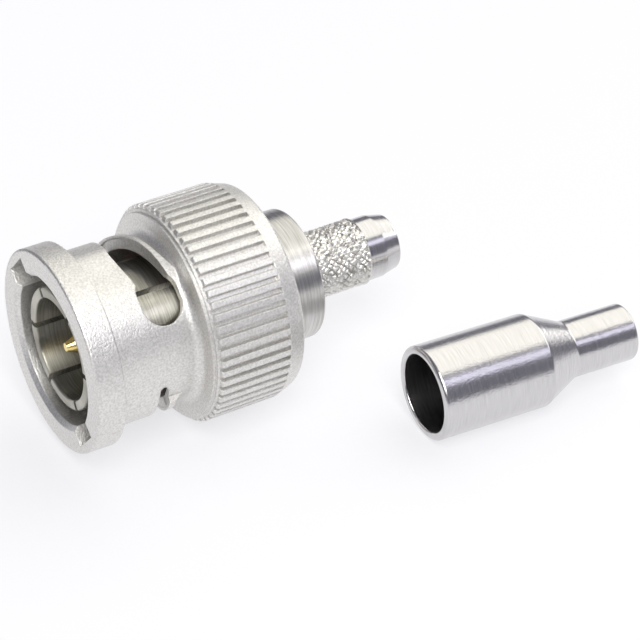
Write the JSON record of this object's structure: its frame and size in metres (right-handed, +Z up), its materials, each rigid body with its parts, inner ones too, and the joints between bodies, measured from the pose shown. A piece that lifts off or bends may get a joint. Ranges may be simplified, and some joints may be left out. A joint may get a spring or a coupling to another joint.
{
  "type": "coaxial cable plug",
  "caption": "Bayonet-locking coaxial cable plug with a turning knurled nut, gold centre pin and crimp stem, with its loose stepped crimp ferrule.",
  "frame": {"origin": "on the plug's axis, in the plane of the outer contact's front edge, with the coupling nut at rest", "axes": "+X along the plug's axis from the mating end to the cable end, +Z up with the plug lying on its side, and the loose ferrule lies on the -Y side"},
  "size_m": [0.0358, 0.0218, 0.0144],
  "materials": {
    "cast_nickel": "satin nickel plate on a zinc casting",
    "turned_nickel": "bright nickel plate on turned brass, with fine turning lines",
    "contact_plating": "bright nickel plate on a spring alloy",
    "spring_steel": "bare spring steel",
    "gold_plating": "polished gold plate",
    "white_insulator": "white fluoropolymer, waxy",
    "silicone": "dark red silicone rubber, matt"
  },
  "bodies": {
    "plug_body": {"outer_contact": "contact_plating", "mating_gasket": "silicone", "connector_body": "turned_nickel", "front_wave_washer": "spring_steel", "rear_wave_washer": "spring_steel", "retaining_ring": "spring_steel", "front_insulator": "white_insulator", "rear_insulator": "white_insulator", "center_pin": "gold_plating", "crimp_ferrule": "turned_nickel"},
    "nut_carrier": {"thrust_washer": "spring_steel"},
    "turning_nut": {"coupling_nut": "cast_nickel"}
  },
  "joints": [
    {"name": "nut_travel", "type": "slide", "parent": "plug_body", "child": "nut_carrier", "axis": [-1, 0, 0], "range_m": [0, 0.0009], "stiffness_N_per_m": 3000, "deforming": ["front_wave_washer", "rear_wave_washer"]},
    {"name": "nut_turn", "type": "hinge", "parent": "nut_carrier", "child": "turning_nut", "pos_m": [0.0125, 0, 0], "axis": [1, 0, 0], "continuous": true}
  ]
}
